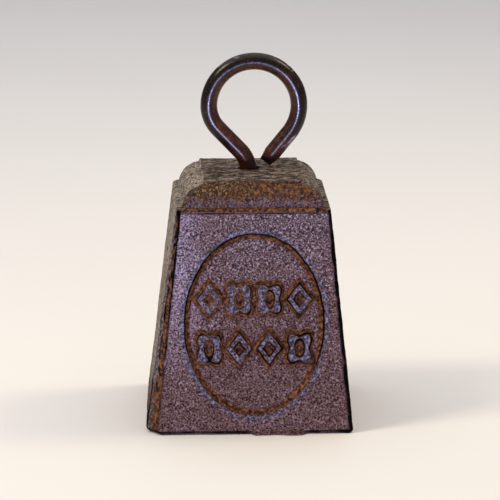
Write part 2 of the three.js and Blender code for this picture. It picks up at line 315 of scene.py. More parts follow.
def crown_rows():
    """From the hole's edge over the flat top, the fillet and the moulding to the ledge."""
    edge = FLAT_TOP_EDGE
    for share in np.linspace(0, 0.97, GRID_ROWS["flat_top"]):
        yield "flat_top", round_the_hole(outline(flat_top_plan()), TOP_Z, share)
    for turn in np.radians([30, 60, 90]):
        plan = inset(flat_top_plan(), edge * (1 - math.sin(turn)))
        yield "fillet", at_height(outline(plan), TOP_Z - edge * (1 - math.cos(turn)))
    head = inset(flat_top_plan(), -FILLET_INSET)
    for share in (0.4, 0.7):
        plan = inset(flat_top_plan(), -FILLET_INSET * share)
        yield "fillet", at_height(outline(plan), TOP_Z - FILLET * mix(edge / FILLET, 1, share))
    foot = inset(plan_at(LEDGE_Z), LEDGE_FLAT["side"], LEDGE_FLAT["side"], LEDGE_FLAT["end"])
    for t in np.linspace(1, 0, GRID_ROWS["ovolo"]):
        rise = math.sin(t * OVOLO_TURN) / math.sin(OVOLO_TURN)
        travel = (1 - math.cos(t * OVOLO_TURN)) / (1 - math.cos(OVOLO_TURN))
        z = mix(LEDGE_Z, TOP_Z - FILLET, rise)
        yield "ovolo", at_height(outline(blend(foot, head, travel)), z)
    for share in (0.2, 0.45, 0.7):
        plan = blend(foot, inset(plan_at(LEDGE_Z), LEDGE_EDGE), share / 0.7)
        yield "ledge", at_height(outline(plan), LEDGE_Z)
    for turn in np.radians([30, 60]):
        plan = inset(plan_at(LEDGE_Z), LEDGE_EDGE * (1 - math.sin(turn)))
        yield "ledge", at_height(outline(plan), LEDGE_Z - LEDGE_EDGE * (1 - math.cos(turn)))


def foot_plan(z):
    """The plan near the floor, where each wall is rounded under."""
    return inset(plan_at(z), *(foot_inset(z, FOOT_ROUND[side]) for side in FOOT_ROUND))


def wall_rows():
    for z in np.linspace(LEDGE_Z - LEDGE_EDGE, FOOT_ROUND["left"] + 0.4, GRID_ROWS["wall"]):
        yield "wall", at_height(outline(plan_at(z)), z)
    for share in (1, 0.83, 0.67, 0.52, 0.38, 0.26, 0.16, 0.08, 0.02, 0):
        z = share * FOOT_ROUND["left"]
        yield "foot", at_height(outline(foot_plan(z)), z)


def inner_rows():
    """Across the foot's rim, up inside the hollow and out through the hole again."""
    shoulder = LEDGE_Z - WALL
    mouth = inset(plan_at(0), WALL)
    for share in (0.35, 0.7, 0.93):
        yield "rim", at_height(outline(blend(foot_plan(0), mouth, share)), 0)
    for z in np.linspace(0.4, shoulder, GRID_ROWS["inside"]):
        yield "inside", at_height(outline(inset(plan_at(z), WALL)), z)
    bevel = inset(plan_at(LEDGE_Z), WALL + CEILING_BEVEL["start"])
    yield "inside", at_height(outline(bevel), CEILING_Z - CEILING_BEVEL["drop"])
    ceiling = outline(inset(plan_at(LEDGE_Z), WALL + CEILING_BEVEL["end"]))
    for share in (1, 0.8, 0.6, 0.4, 0.2, 0):
        yield "ceiling", round_the_hole(ceiling, CEILING_Z, share)
    for share in (0.35, 0.7):
        yield "hole", round_the_hole(outline(flat_top_plan()), mix(CEILING_Z, TOP_Z, share), 0)


# ---------------------------------------------------------------- relief of the front face


def lozenge_distance(x, y):
    """Distance outwards from the edge of a diamond frame's raised stroke."""
    half_width, half_height = ORNAMENT["width"] / 2, ORNAMENT["height"] / 2
    steepness = math.hypot(1 / half_width, 1 / half_height)
    half_stroke = ORNAMENT["stroke"] * LOZENGE_HALF_STROKE
    middle = 1 - half_stroke * steepness
    level = np.abs(x) / half_width + np.abs(y) / half_height
    return np.abs(level - middle) / steepness - half_stroke


def clover_distance(x, y):
    """Distance outwards from the edge of a four-lobed clover with a round eye."""
    half_width, half_height = ORNAMENT["width"] / 2, ORNAMENT["height"] / 2
    angle = np.arctan2(y / half_height, x / half_width)
    lobe = CLOVER["size"] * (CLOVER["middle"] - CLOVER["lobes"] * np.cos(4 * angle))
    outside = (np.hypot(x / half_width, y / half_height) - lobe) * half_width
    eye = np.hypot(x / (half_width - ORNAMENT["stroke"]), y / (half_height - ORNAMENT["stroke"]))
    return np.maximum(outside, (1 - eye) * CLOVER["eye_slope"])


def ornament_distance(x, y):
    """Distance outwards from the nearest edge of the two rows of raised work."""
    nearest = np.full(x.shape, 99.0)
    for up, pattern in ROWS:
        for index, kind in enumerate(pattern):
            centre = (index - (len(pattern) - 1) / 2) * ORNAMENT["pitch"]
            shape = lozenge_distance if kind == "lozenge" else clover_distance
            nearest = np.minimum(nearest, shape(x - centre, y - up))
    return nearest


def oval_distance(x, y):
    """Distance inwards from the panel's edge."""
    a, b = PANEL["half_width"], PANEL["half_height"]
    level = np.hypot(x / a, y / b)
    steepness = np.hypot(x / a**2, y / b**2) / np.maximum(level, 1e-6)
    return (1 - level) / np.maximum(steepness, 1 / b)


def face_relief(points):
    """Height of the relief over the plain face, and the colour masks that follow it: rust in its hollows,
    painted shade along its edges and painted bluish highlights on its tops.
    """
    x = points[..., 0] - SHIFT
    y = (points[..., 2] - PANEL["centre_z"]) / math.cos(FACE_SLOPE)
    wobble = 0.35 * layered(points, 5, 11) + 0.16 * grain(points, 1.6, 17)
    into_panel = oval_distance(x, y) + wobble
    off_ornament = ornament_distance(x, y) + 1.1 * wobble
    wall = PANEL["wall"]
    sunk = smooth(into_panel / wall)
    raised = 1 - smooth(off_ornament / ORNAMENT_WALL)
    height = -PANEL["depth"] * sunk + ORNAMENT["relief"] * raised
    moat = hump(into_panel - wall * 0.95, 0.8)
    moat = np.maximum(moat, 0.7 * hump(off_ornament - ORNAMENT_WALL, 0.7))
    height -= 0.35 * moat * (1 - raised)
    # A raised lip round the panel, which also gets a painted bluish highlight.
    lip = hump(into_panel + 1.6, 1.3)
    height += 0.22 * lip
    oval_rust = smooth((into_panel - 0.1) / 0.5) * (1 - smooth((into_panel - wall) / 0.8))
    rust_near = smooth((off_ornament + 0.1) / 0.4)
    rust_far = 1 - smooth((off_ornament - ORNAMENT_WALL * 0.9) / 0.8)
    patchy = 0.8 + 0.4 * grain(points, 6, 23)
    # Painted shade: a dark line along the panel's edge, stronger towards the top, where its step faces
    # down, and darker on the step's upper wall.
    line = hump(into_panel - 0.05, 0.42) * (0.9 + 0.4 * grain(points, 9, 29))
    line *= mix(0.4, 1, smooth((y + 42) / 50))
    upper_half = smooth((y + 10) / 30)
    shaded = upper_half * smooth((into_panel - 0.2) / 0.3) * (1 - smooth((into_panel - 1.6) / 0.7))
    line = np.maximum(line, 0.25 * shaded)
    # Painted shadow: a dark line round the ornaments, heavier on their lower right, away from the light.
    shadow_side = 0.5 + 0.5 * np.tanh(3 * (x - y * 0.4 - 3) / 20)
    edge_shadow = hump(off_ornament + 0.25, 0.42)
    edge_shadow *= 0.55 + 0.3 * shadow_side + 0.5 * grain(points, 5, 31)
    return {
        "height": height,
        "rust": np.maximum(oval_rust, 0.85 * rust_near * rust_far) * patchy,
        # Painted shade along the panel's edge and round the ornaments.
        "line": np.maximum(line, edge_shadow),
        # Painted bluish highlights on the ornaments' tops and on the lip.
        "bluish_highlight": np.maximum(1 - smooth((off_ornament + 1.3) / 0.8), 0.9 * lip),
    }


# ---------------------------------------------------------------- the casting


def casting_grid():
    parts, rows = [], []
    for maker in (crown_rows, wall_rows, inner_rows):
        for part, row in maker():
            parts.append(part)
            rows.append(row)
    return np.array(parts), np.array(rows)


def casting_roughness(points, parts):
    """Uneven sand-cast skin: waves, lumps and a fine tooth outside, coarser lumps inside."""
    outer = np.isin(parts, ["flat_top", "fillet", "ovolo", "ledge", "wall", "foot"])[:, None]
    inner = np.isin(parts, ["inside", "ceiling"])[:, None]
    waves = 0.28 * layered(points, 26, 41, 2)
    lumps = 0.16 * layered(points, 5, 43, 2)
    tooth = 0.075 * grain(points, 1.25, 47) + 0.05 * grain(points, 0.8, 53)
    return outer * (waves + lumps + tooth) + inner * (0.5 * layered(points, 9, 59))


MASKS = ("rust", "line", "bluish_highlight", "dust_and_sheen", "grazing_sheen", "gold_sheen", "mauve_and_sheen", "pale")


def side_masks(points, parts):
    """Where each colour of the casting lies, from the part of the grid and the place; several are painted
    light: sheen, highlights and lit and shaded bands.
    """
    shape = points.shape[:2]
    x, z = points[..., 0], points[..., 2]
    masks = {name: np.zeros(shape) for name in MASKS}
    crown = np.isin(parts, ["flat_top", "fillet", "ovolo", "ledge"])
    wall = parts == "wall"
    speck = 0.5 + 0.5 * grain(points, 2.4, 61)
    patch = 0.5 + 0.5 * layered(points, 14, 67)

    def fill(name, rows, side, values):
        where = np.zeros(shape, bool)
        where[np.ix_(rows, np.arange(shape[1])[columns_of(side)])] = True
        masks[name] = np.where(where, np.maximum(masks[name], values), masks[name])

    both = np.isin(parts, ["wall", "foot"])
    # The front's mauve tone carries a painted cool sheen, stronger towards the top.
    fill("mauve_and_sheen", both, "front", 0.15 + 0.75 * smooth((z - 22) / 80))
    # Painted light: a paler, lavender patch on the front near its left edge, where the light falls.
    painted_light_left = hump(x - SHIFT + 38, 11) * smooth((z - 20) / 45)
    fill("pale", both, "front", painted_light_left * (0.6 + 0.8 * patch))
    ragged = 0.5 + 0.5 * layered(points * [1, 1, 0.45], 2.6, 71)
    column = np.arange(shape[1])[None, :] + np.zeros(shape)
    along = (column - STARTS["bevel"]) / COLUMNS["bevel"]
    outer = 1 - smooth((along - 0.4) / 0.2)  # the bevel's outer part, next to the left wall
    # The upper part of the bevel and left side, where the painted pale sheen lies.
    high = smooth((z - 14 + 22 * (patch - 0.5)) / 16)
    rusty = 0.5 + 0.5 * smooth((ragged - 0.36) / 0.2)
    fill("rust", both, "bevel", (1 - outer) * rusty + 0.4 * outer * speck)
    fill("grazing_sheen", both, "bevel", outer * high * (0.45 + 0.4 * patch))
    fill("dust_and_sheen", both, "bevel", outer * high)
    # Painted shade: a broken dark line down the bevel along its step. Scattered dark patches are added as
    # well.
    step_shade = hump(along - 0.42, 0.1) * smooth((z - 12) / 10) * (2.6 * ragged - 0.9)
    top_half = smooth((z - 55) / 30)
    fill("line", both, "bevel", np.maximum(step_shade, 0.5 * smooth((0.38 - ragged) / 0.1)))
    # In its upper half the bevel gets painted dark shade specks and painted bluish highlight specks.
    tiny = grain(points * [1, 1, 0.6], 1.1, 107)
    fill("line", both, "bevel", 0.8 * top_half * smooth((tiny - 0.15) / 0.25) * smooth((along - 0.3) / 0.2))
    # Painted bluish highlights on the bevel.
    fill("bluish_highlight", both, "bevel", 0.9 * top_half * smooth((-0.2 - tiny) / 0.15) * smooth((along - 0.2) / 0.2))
    fill("bluish_highlight", both, "bevel", (1 - outer * high) * smooth((ragged - 0.56) / 0.1) * (0.25 + 0.7 * outer))
    # Painted cool sheen on the bevel, stronger on its upper part.
    fill("mauve_and_sheen", both, "bevel", 0.4 + 0.5 * high)
    # Painted pale sheen over the upper left wall, with some dust.
    fill("dust_and_sheen", both, "left", high * (0.75 + 0.3 * patch))
    fill("mauve_and_sheen", both, "left", 0.5)
    fill("grazing_sheen", both, "left", high * (0.45 + 0.4 * patch))
    fill("rust", both, "left", (1 - smooth((z - 10) / 16)) * (0.3 + 0.5 * speck))
    for side in ("right", "back", "corner_a", "corner_b"):
        fill("dust_and_sheen", both, side, 0.3 * patch)
        fill("mauve_and_sheen", both, side, 0.3 + 0.3 * patch)
        fill("rust", both, side, 0.25 * speck + 0.5 * (1 - smooth(z / 12)))
    # Dust on the crown's top faces, with a painted pale sheen.
    for side in ("left", "right", "back", "corner_a", "corner_b", "bevel", "front_round"):
        fill("dust_and_sheen", crown, side, 0.55 + 0.4 * patch)
    # Painted pale sheen on the crown's sides, stronger on the left, where the light falls.
    for side, share in (("left", 1.0), ("right", 0.6)):
        fill("grazing_sheen", crown & (parts != "flat_top"), side, share * (0.38 + 0.45 * speck))
    fill("dust_and_sheen", parts == "flat_top", "front", 0.5 + 0.3 * patch)
    # Painted light on the front moulding: a warm gold band on its upper part, stronger to the left, and a
    # mauve band with a bluish highlight on its lower part.
    upper = smooth((z - LEDGE_Z - 2.6 + 1.6 * (speck - 0.5)) / 4.4)
    lean = smooth((SHIFT + 14 - x) / 44)
    moulding = np.isin(parts, ["ovolo", "fillet"])
    fill("gold_sheen", moulding, "front", upper * (0.42 + 0.6 * lean * patch))
    fill("rust", moulding, "front", 0.15 + upper * (0.15 + 0.4 * speck))
    fill("mauve_and_sheen", moulding, "front", 0.3 * (1 - upper))
    fill("bluish_highlight", moulding, "front", (1 - upper) * 0.42)
    fill("rust", parts == "ledge", "front", 0.6 + 0.4 * speck)
    fill("rust", wall, "front", 0.9 * smooth((z - LEDGE_Z + 1.7) / 0.4))
    # Painted warm light on the ledge towards its left end.
    fill("gold_sheen", parts == "ledge", "front", 0.55 * smooth((SHIFT - 24 - x) / 10))
    return masks


def edge_masks(points, parts, masks):
    """Painted shade: dark lines along the casting's edges, under its ledge and moulding, along the floor
    and round its hole; and a painted pale bluish band along the bottom rim of its foot.
    """
    shape = points.shape[:2]
    column = np.arange(shape[1])[None, :] + np.zeros(shape)
    z = points[..., 2]
    uneven = 0.7 + 0.5 * layered(points, 5, 71, 2)
    on_wall = np.isin(parts, ["wall", "foot"])[:, None] * np.ones(shape)
    first, last = STARTS["front"], STARTS["front"] + COLUMNS["front"]
    # Painted shade along the edges of the front face and of the left side.
    face_left = hump(column - first, 2.0) * mix(0.5, 1.05, smooth((z - 30) / 60))
    face_right = hump(column - last - 2, 4.2)
    strip_left = hump(column - 0.5, 1.3) * mix(0.9, 0.35, smooth((z - 12) / 25))
    sides = 1.15 * np.maximum(np.maximum(face_left, face_right), strip_left)
    masks["line"] = np.maximum(masks["line"], on_wall * sides * uneven)
    front = (column >= first) & (column <= last)
    # Painted shade under the ledge and along the floor.
    under_ledge = hump(z - LEDGE_Z + 2.1, 0.5) * on_wall * front
    above_floor = hump(z - 1.3, 0.8) * on_wall * (1 - 0.75 * flash_place(points))
    # Painted pale bluish band along the bottom of the walls.
    masks["bluish_highlight"] = np.maximum(masks["bluish_highlight"], 0.8 * (1 - smooth(z / 0.9)) * on_wall)
    # Painted shade at the moulding's foot, under the flat top's front edge and in the gap round the shank.
    moulding_foot = hump(z - LEDGE_Z - 0.2, 0.25) * (parts == "ovolo")[:, None] * front
    fillet_line = ((parts == "fillet")[:, None] * front
                   * smooth((points[..., 0] - SHIFT - 2) / 8) * (z < TOP_Z - 0.8))
    hole_reach = np.hypot(points[..., 0] - SHANK_X, points[..., 1] - SHANK_Y)
    hole_edge = (1 - smooth((hole_reach - HOLE / 2) / 1.2)) * (parts == "flat_top")[:, None]
    lines = ((hole_edge, 1.0), (under_ledge, 0.75), (above_floor, 0.9),
             (moulding_foot, 0.5), (fillet_line, 0.55))
    for mask, share in lines:
        masks["line"] = np.maximum(masks["line"], share * mask * uneven)


def flash_place(points):
    """How far along the front foot edge a point lies within the lip of casting flash."""
    x = points[..., 0]
    return smooth((x - FLASH["start"]) / 3) * smooth((FLASH["end"] - x) / 4) * (points[..., 1] < 0)


def flash(points, parts):
    """A low lip of casting flash along part of the front foot edge."""
    low = 1 - smooth((points[..., 2] - FLASH["top"]) / FLASH["fade"])
    foot_only = np.isin(parts, ["wall", "foot"])[:, None]
    lumpy = FLASH["reach"] + FLASH["lumps"] * grain(points, 6, 79)
    return (flash_place(points) * low * foot_only * lumpy)[..., None] * np.array([0, -1, 0])


def body_piece():
    parts, points = casting_grid()
    normals = grid_normals(points)
    rough = casting_roughness(points, parts)
    masks = side_masks(points, parts)
    face = columns_of("front")
    relief = face_relief(points[:, face])
    outward = np.array([0, -math.cos(FACE_SLOPE), math.sin(FACE_SLOPE)])
    on_face = np.isin(parts, ["wall", "foot"])[:, None]
    shift = (relief["height"] * on_face)[..., None] * outward
    for name in ("rust", "line", "bluish_highlight"):
        masks[name][:, face] = np.maximum(masks[name][:, face], relief[name] * on_face)
    edge_masks(points, parts, masks)
    bevel = columns_of("bevel")
    ragged = on_face * (0.55 * layered(points[:, bevel], 7, 73) - 0.1)
    rough[:, bevel] += ragged
    moved = points + normals * rough[..., None]
    moved[:, face] += shift
    moved += flash(points, parts)
    moved[..., 2] = np.clip(moved[..., 2], 0, TOP_Z + SKIN_RISE)
    rows, columns = points.shape[:2]
    body = mesh_object("Body_Casting", moved.reshape(-1, 3), ring_faces(rows, columns, True))
    for name, values in masks.items():
        set_mask(body, name, values)
    return body


# ---------------------------------------------------------------- the eye bolt


def arc(centre_x, centre_z, radius, start, end, step):
    count = max(int(abs(end - start) * radius / step), 2)
    angle = np.linspace(start, end, count + 1)
    return np.column_stack([centre_x + radius * np.cos(angle), centre_z + radius * np.sin(angle)])


def handle_line(shank_end):
    """The bar's centre line in its own plane, x and z, from the free end to the shank's end."""
    leave_angle = RIGHT_SLOPE - math.pi / 2
    round_part = arc(EYE_X, EYE_Z, EYE_RADIUS, leave_angle, math.pi, BAR_STEP)
    tight_x = EYE_X - EYE_RADIUS + EYE_TIGHT
    tight = arc(tight_x, EYE_Z, EYE_TIGHT, math.pi, 1.5 * math.pi - LEFT_SLOPE, BAR_STEP)
    join = tight[-1]
    bend_x = SHANK_X - SHANK_BEND
    bend_top_x = bend_x + SHANK_BEND * math.sin(LEFT_SLOPE)
    bend_top_z = join[1] - (bend_top_x - join[0]) * math.tan(LEFT_SLOPE)
    bend_z = bend_top_z - SHANK_BEND * math.cos(LEFT_SLOPE)
    bend = arc(bend_x, bend_z, SHANK_BEND, math.pi / 2 - LEFT_SLOPE, 0, BAR_STEP)
    up_leg = np.array([math.cos(RIGHT_SLOPE), math.sin(RIGHT_SLOPE)])
    ridge_z = TOP_Z + TIP_CLEARANCE + RIDGE_SHARE * ROD / 2 * math.cos(RIGHT_SLOPE)
    ridge = round_part[0] - up_leg * (round_part[0][1] - ridge_z) / up_leg[1]
    start = ridge + up_leg * (WEDGE_SLOPE * ROD / 2 + 0.6)
    leg = np.linspace(start, round_part[0], 12)[:-1]
    slope = np.linspace(join, bend[0], 14)[1:-1]
    thread_top = shank_end + THREAD["length"]
    plain = np.linspace(bend[-1], [SHANK_X, thread_top], 10)[1:-1]
    turns = int(THREAD["length"] / THREAD["pitch"] * 8)
    threaded = np.linspace([SHANK_X, thread_top], [SHANK_X, shank_end], turns)
    line = np.concatenate([leg, round_part, tight[1:], slope, bend, plain, threaded])
    return line, ridge


def thread_radius(height_below_top, angle, radius):
    """Radius of a threaded rod; the thread fades in over its first turns."""
    phase = (height_below_top / THREAD["pitch"] + angle / (2 * math.pi)) % 1
    groove = 1 - np.abs(phase * 2 - 1)
    fade = smooth(height_below_top / (2 * THREAD["pitch"]))
    return radius - THREAD["depth"] * groove * fade


def ring_piece():
    sides = BAR_SIDES
    line, ridge = handle_line(ring_low[2])
    tangent = np.gradient(line, axis=0)
    tangent /= np.linalg.norm(tangent, axis=1, keepdims=True)
    angle = round_angles(sides)
    flat = np.stack([np.cos(angle), np.sin(angle)], -1)
    centre = np.column_stack([line[:, 0], np.full(len(line), SHANK_Y), line[:, 1]])
    across = np.column_stack([-tangent[:, 1], np.zeros(len(line)), tangent[:, 0]])
    depth_way = np.array([0, 1, 0])
    thread_top = ring_low[2] + THREAD["length"]
    below = np.clip(thread_top - line[:, 1], 0, None) * (np.abs(line[:, 0] - SHANK_X) < 0.01)
    radius = thread_radius(below[:, None], angle[None, :], ROD / 2)
    point = centre[:, None] + radius[..., None] * (
        flat[None, :, :1] * across[:, None] + flat[None, :, 1:] * depth_way)
    dents = 0.05 * layered(point, 7, 83, 2) + 0.012 * grain(point, 1.5, 89)
    outward = (point - centre[:, None]) / radius[..., None]
    point += outward * (dents * (below[:, None] < 0.01))[..., None] - 0.02 * outward
    wedge = wedge_rows(ridge, line[0], across[0], flat, point[0])
    end = np.array([SHANK_X, SHANK_Y, line[-1, 1]])
    tail = [mix(end, point[-1], share) for share in (0.93, 0.5, 0.08)]
    tail[0][:, 2] = point[-1][:, 2]
    rows = np.concatenate([wedge, point, tail])
    points = np.concatenate([rows.reshape(-1, 3), [end]])
    faces = ring_faces(len(rows), sides, False)
    last = (len(rows) - 1) * sides
    for k in range(sides):
        faces.append((len(points) - 1, last + (k + 1) % sides, last + k))
    for k in range(sides // 2):
        strip = (k, k + 1, sides - k - 1, (sides - k) % sides)
        faces.append(tuple(dict.fromkeys(strip)))
    ring = mesh_object("Ring_Handle", points, faces)
    set_mask(ring, "bare", np.append(handle_wear(rows), 0))
    set_mask(ring, "flank", np.append(inward_warm_reflection(rows), 0))
    cut_points = WEDGE_FACE_ROWS * sides
    set_mask(ring, "cutface", (np.arange(len(points)) < cut_points).astype(float))
    return ring


def wedge_rows(ridge, start, across, flat, first_ring):
    """Rows from the ridge over the two facets to their rim, then up to the round bar."""
    middle = np.array([ridge[0], SHANK_Y, ridge[1]])
    up_leg = np.array([start[0] - ridge[0], 0, start[1] - ridge[1]])
    up_leg /= np.linalg.norm(up_leg)
    rows = []
    for share in np.linspace(0.05, 1, WEDGE_FACE_ROWS):
        width = RIDGE_SHARE * ROD / 2 * flat[:, :1] * mix(0.93, 1, share)
        depth = ROD / 2 * flat[:, 1:] * share
        rise = WEDGE_SLOPE * np.abs(depth)
        rows.append(middle + width * across + depth * np.array([0, 1, 0]) + rise * up_leg)
    rim = rows[-1]
    rows += [mix(rim, first_ring, share) for share in (0.04, 0.3, 0.65)]
    return np.array(rows)


def inward_warm_reflection(rows):
    """A painted warm reflection: the warmer brown on the side of the bar that faces into the eye."""
    radial = np.hypot(rows[..., 0] - EYE_X, rows[..., 2] - EYE_Z)
    facing_in = smooth((EYE_RADIUS - 0.6 - radial) / 1.6)
    facing_in *= mix(1, 0.45, smooth((rows[..., 0] - EYE_X) / 8))
    leg = smooth((EYE_Z - 12 - rows[..., 2]) / 6) * smooth((rows[..., 0] - SHANK_X + 12) / 10)
    return np.maximum(facing_in, 0.6 * leg)


def handle_wear(rows):
    """Scuffs: on the free leg's outer flank, and light rubbing over the top of the eye."""
    x, y, z = rows[..., 0], rows[..., 1], rows[..., 2]
    radial = np.hypot(x - EYE_X, z - EYE_Z)
    outer = smooth((radial - EYE_RADIUS - 0.8) / 2.2)
    low_right = smooth((x - EYE_X - 6) / 3) * smooth((EYE_Z - 12 - z) / 4)
    broken = smooth((grain(rows, 2.2, 97) + 0.1) / 0.3)
    leg = outer * low_right * broken * (y < SHANK_Y - 0.5) * smooth((z - TOP_Z - 8) / 3)
    top = smooth((z - EYE_Z - 14) / 4) * smooth((radial - EYE_RADIUS - 2) / 1.5)
    top *= smooth((grain(rows * [0.35, 1, 1], 1.7, 101) - 0.1) / 0.3) * 0.5
    return np.maximum(leg, top).ravel()


# ---------------------------------------------------------------- washer and nut


def lathe_grid(radii, heights, angle):
    """Rows of points round the shank's axis; radii may be one number or one per angle."""
    rows = []
    for radius, height in zip(radii, heights):
        radius = np.broadcast_to(radius, angle.shape)
        height = np.broadcast_to(height, angle.shape)
        rows.append(np.column_stack([
            SHANK_X + radius * np.cos(angle), SHANK_Y + radius * np.sin(angle), height]))
    return np.array(rows)


def lathe_object(name, rows):
    faces = ring_faces(len(rows), rows.shape[1], True)
    return mesh_object(name, rows.reshape(-1, 3), [face[::-1] for face in faces])


def washer_piece():
    outer = (washer_high[0] - washer_low[0]) / 2
    inner = WASHER["bore"] / 2
    bottom, top = washer_low[2], washer_high[2]
    edge = WASHER["edge"]
    radii = [inner, inner + edge, mix(inner, outer, 0.5), outer - edge, outer,
             outer, outer - edge / 3, mix(inner, outer, 0.5), inner + edge / 3, inner]
    heights = [bottom + edge, bottom, bottom, bottom, bottom + edge,
               top - edge / 3, top, top, top, top - edge / 3]
    rows = lathe_grid(radii, heights, round_angles(WASHER["sides"]))
    rows[..., 2] += 0.04 * grain(rows, 3, 103)
    return lathe_object("Flat_Washer", rows)


def nut_piece():
    bottom, top = nut_low[2], nut_high[2]
    flat = (nut_high[1] - nut_low[1]) / 2
    corner_reach = flat / math.cos(math.pi / 6)
    bore = NUT["bore"] / 2
    angle = round_angles(NUT["sides"])
    hexagon = flat / np.cos((angle % (math.pi / 3)) - math.pi / 6)
    hexagon = np.minimum(hexagon, corner_reach - NUT["corner_cut"])
    chamfer = NUT["chamfer"]
    radii, heights = [], []

    def add(radius, height):
        radii.append(radius)
        heights.append(height)

    add(bore + 0.6, bottom + 0.02)
    add(flat - 0.7, bottom)
    for z in np.linspace(0, chamfer, 6):
        add(np.minimum(hexagon, flat - 0.25 + z * 1.6), bottom + z)
    for z in np.linspace(0.3, 0.7, 3):
        add(hexagon, mix(bottom, top, z))
    for z in np.linspace(chamfer, 0, 6):
        add(np.minimum(hexagon, flat - 0.25 + z * 1.6), top - z)
    add(flat - 0.7, top)
    add(bore + 0.6, top - 0.02)
    for height in np.linspace(top - 0.5, bottom + 0.5, 40):
        phase = ((top - height) / THREAD["pitch"] + angle / (2 * math.pi)) % 1
        add(bore + NUT["thread"] * np.abs(phase * 2 - 1), height)
    rows = lathe_grid(radii, heights, angle)
    return lathe_object("Hex_Nut", rows)


# ---------------------------------------------------------------- materials


class Shader:
    """A material's node tree with short calls for the nodes used here."""

    def __init__(self, name):
        self.material = bpy.data.materials.new(name)
        self.material.use_nodes = True
        self.nodes = self.material.node_tree.nodes
        self.links = self.material.node_tree.links
        self.surface = self.nodes["Principled BSDF"]
        self.place = self.nodes.new("ShaderNodeTexCoord").outputs["Object"]

    def socket(self, socket, value):
        """Links an output to a socket, or sets a plain value on it."""
        if isinstance(value, bpy.types.NodeSocket):
            self.links.new(value, socket)
        else:
            socket.default_value = value

    def stretched(self, scale):
        mapping = self.nodes.new("ShaderNodeMapping")
        mapping.inputs["Scale"].default_value = scale
        self.links.new(self.place, mapping.inputs["Vector"])
        return mapping.outputs["Vector"]

    def noise(self, size, detail=2, roughness=0.5, place=None):
        """Noise whose features are about `size` millimetres across."""
        node = self.nodes.new("ShaderNodeTexNoise")
        self.links.new(place or self.place, node.inputs["Vector"])
        node.inputs["Scale"].default_value = 1 / (size * MM)
        node.inputs["Detail"].default_value = detail
        node.inputs["Roughness"].default_value = roughness
        return node.outputs["Fac"]

    def cells(self, size):
        node = self.nodes.new("ShaderNodeTexVoronoi")
        self.links.new(self.place, node.inputs["Vector"])
        node.inputs["Scale"].default_value = 1 / (size * MM)
        return node.outputs["Distance"]

    def mask(self, name):
        node = self.nodes.new("ShaderNodeAttribute")
        node.attribute_name = name
        return node.outputs["Fac"]

    def math(self, operation, a, b):
        node = self.nodes.new("ShaderNodeMath")
        node.operation = operation
        self.socket(node.inputs[0], a)
        self.socket(node.inputs[1], b)
        return node.outputs["Value"]

    def span(self, value, low, high, to_low=0.0, to_high=1.0):
        """The value's range from low to high, spread over another range and clamped."""
        node = self.nodes.new("ShaderNodeMapRange")
        self.links.new(value, node.inputs["Value"])
        node.inputs["From Min"].default_value = low
        node.inputs["From Max"].default_value = high
        node.inputs["To Min"].default_value = to_low
        node.inputs["To Max"].default_value = to_high
        return node.outputs["Result"]

    def broken(self, name, noise, spread, low, high, ends=(0.3, 0.7)):
        """A mask whose edge is broken up by noise, then sharpened between low and high."""
        ragged = self.math("ADD", self.mask(name), self.span(noise, *ends, -spread, spread))
        return self.span(ragged, low, high)

    def grazing(self, low, high, to_low):
        """Rises to 1 where the surface is seen at a low angle."""
        node = self.nodes.new("ShaderNodeLayerWeight")
        return self.span(node.outputs["Facing"], low, high, to_low, 1.0)

    def ramp(self, value, stops):
        node = self.nodes.new("ShaderNodeValToRGB")
        self.links.new(value, node.inputs["Fac"])
        elements = node.color_ramp.elements
        while len(elements) < len(stops):
            elements.new(0.5)
        for element, (position, color) in zip(elements, stops):
            element.position = position
            element.color = (*color, 1)
        return node.outputs["Color"]

    def mix(self, share, a, b, blend="MIX"):
        node = self.nodes.new("ShaderNodeMix")
        node.data_type = "RGBA"
        node.blend_type = blend
        self.socket(node.inputs["Factor"], share)
        for socket, value in ((node.inputs["A"], a), (node.inputs["B"], b)):
            self.socket(socket, (*value, 1) if isinstance(value, tuple) else value)
        return node.outputs["Result"]

    def bump(self, height, distance, strength=1.0, under=None):
        node = self.nodes.new("ShaderNodeBump")
        self.links.new(height, node.inputs["Height"])
        node.inputs["Distance"].default_value = distance * MM
        node.inputs["Strength"].default_value = strength
        if under is not None:
            self.links.new(under, node.inputs["Normal"])
        return node.outputs["Normal"]

    def finish(self, color, roughness, metallic, normal, specular=0.5):
        self.socket(self.surface.inputs["Base Color"], color)
        self.socket(self.surface.inputs["Roughness"], roughness)
        self.socket(self.surface.inputs["Metallic"], metallic)
        self.socket(self.surface.inputs["Normal"], normal)
        self.surface.inputs["Specular IOR Level"].default_value = specular
        return self.material


